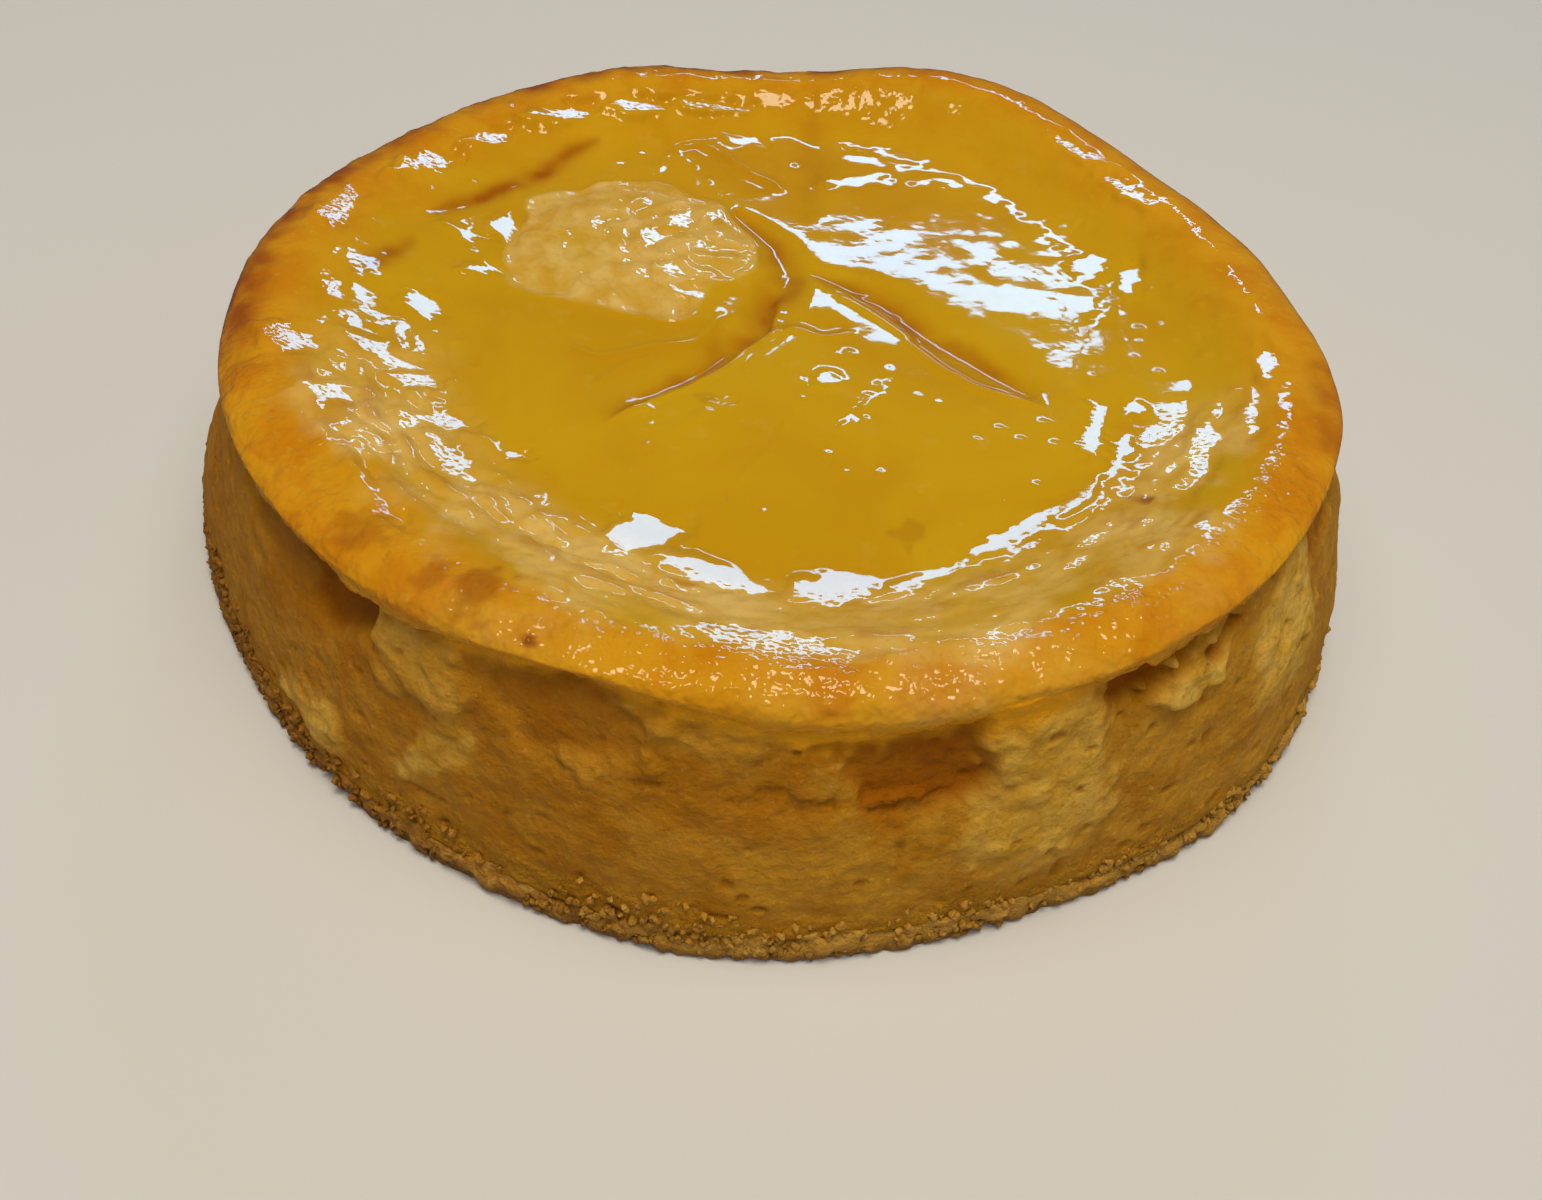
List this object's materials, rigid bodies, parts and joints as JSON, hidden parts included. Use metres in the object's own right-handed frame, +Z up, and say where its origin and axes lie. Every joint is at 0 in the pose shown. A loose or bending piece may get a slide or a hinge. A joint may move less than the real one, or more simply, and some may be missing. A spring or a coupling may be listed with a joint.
{
  "type": "whole baked cheesecake",
  "caption": "Whole round baked cheesecake with a glazed, sunken, cracked top, a browned rolling rim, a torn pale side and a thin crumb base.",
  "frame": {"origin": "middle of the flat underside, on the surface the cake stands on", "axes": "+Z up through the cake; the side that shows in front faces -Y, and +X is to its right"},
  "size_m": [0.2025, 0.1904, 0.0512],
  "materials": {
    "glazed_cake": "glossy amber glaze over a golden brown baked skin, pale and matte on the torn side",
    "crumb_layer": "dry brown pressed crumbs"
  },
  "bodies": {
    "root": {"cheesecake": "glazed_cake", "crumb_base": "crumb_layer"}
  },
  "joints": []
}
